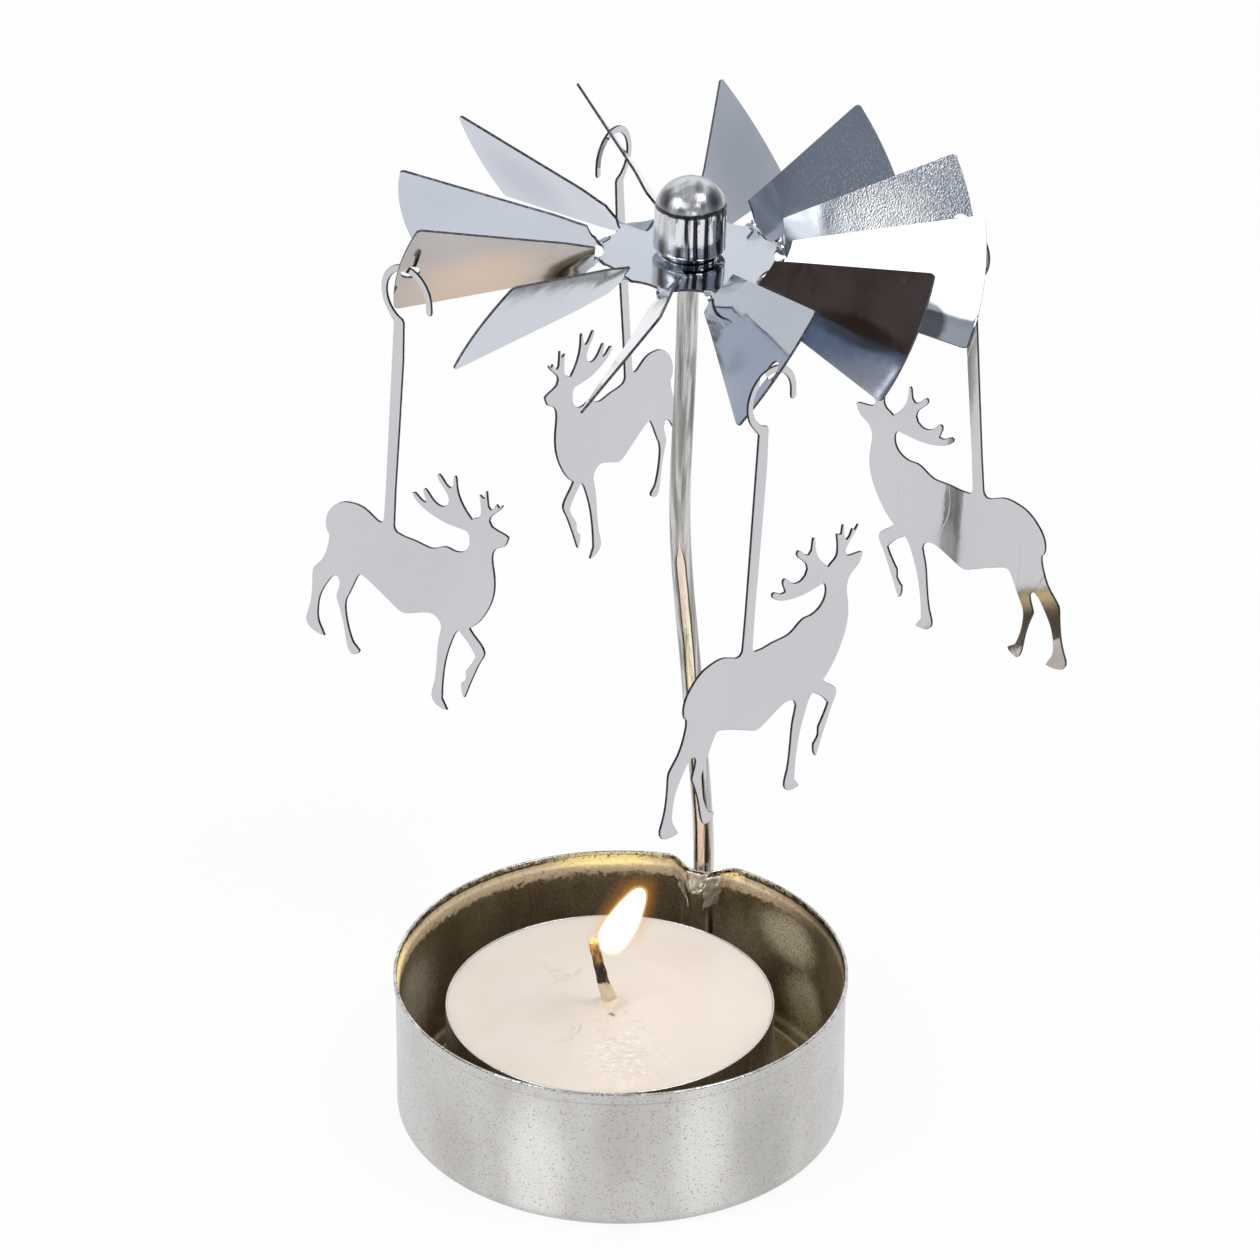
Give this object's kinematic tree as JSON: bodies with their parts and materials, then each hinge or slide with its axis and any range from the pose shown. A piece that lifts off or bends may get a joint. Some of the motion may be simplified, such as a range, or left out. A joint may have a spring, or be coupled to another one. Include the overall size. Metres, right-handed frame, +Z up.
{
  "type": "rotating candle holder",
  "caption": "Shallow tin cup for a tealight with a needle-pointed wire post that carries a spinning blade wheel hung with flat reindeer.",
  "frame": {"origin": "centre of the cup's flat underside", "axes": "+Z up through the cup, -Y towards the viewer of the picture, +X to the viewer's right"},
  "size_m": [0.0871, 0.089, 0.1099],
  "materials": {
    "tinplate": "satin, fine scratches",
    "wire_steel": "drawn wire, fine lengthwise lines",
    "tealight_aluminium": "thin bright sheet",
    "wax": "ivory wax, faint gloss",
    "tinned_steel": "plain",
    "burnt_wick": "charred",
    "bright_sheet": "mirror bright",
    "bright_cap": "mirror bright",
    "pendant_sheet": "mirror bright"
  },
  "bodies": {
    "base": {"base_cup": "tinplate", "post": "wire_steel"},
    "tealight": {"tealight_cup": "tealight_aluminium", "candle_wax": "wax", "wick_holder": "tinned_steel", "candle_wick": "burnt_wick"},
    "rotor": {"fan_wheel": "bright_sheet", "hub_cap": "bright_cap"},
    "pendant_front": {"reindeer_front": "pendant_sheet"},
    "pendant_right": {"reindeer_right": "pendant_sheet"},
    "pendant_back": {"reindeer_back": "pendant_sheet"},
    "pendant_left": {"reindeer_left": "pendant_sheet"}
  },
  "joints": [
    {"name": "tealight_lift", "type": "slide", "parent": "base", "child": "tealight", "axis": [0, 0, 1], "range_m": [0, 0.022]},
    {"name": "fan_spin", "type": "hinge", "parent": "base", "child": "rotor", "pos_m": [0.00767, 0.01746, 0.10931], "axis": [0.0317, 0.0183, 0.9993], "continuous": true},
    {"name": "front_swing", "type": "hinge", "parent": "rotor", "child": "pendant_front", "pos_m": [0.01607, -0.01324, 0.10182], "axis": [-0.6934, -0.7206, 0], "range_deg": [-3, 35]},
    {"name": "right_swing", "type": "hinge", "parent": "rotor", "child": "pendant_right", "pos_m": [0.03796, 0.02595, 0.1004], "axis": [0.7349, -0.6782, 0], "range_deg": [-3, 35]},
    {"name": "back_swing", "type": "hinge", "parent": "rotor", "child": "pendant_back", "pos_m": [-0.00122, 0.04787, 0.10125], "axis": [0.5225, 0.8526, 0], "range_deg": [-3, 35]},
    {"name": "left_swing", "type": "hinge", "parent": "rotor", "child": "pendant_left", "pos_m": [-0.02311, 0.00868, 0.10266], "axis": [-0.7385, 0.6743, 0], "range_deg": [-3, 35]}
  ]
}
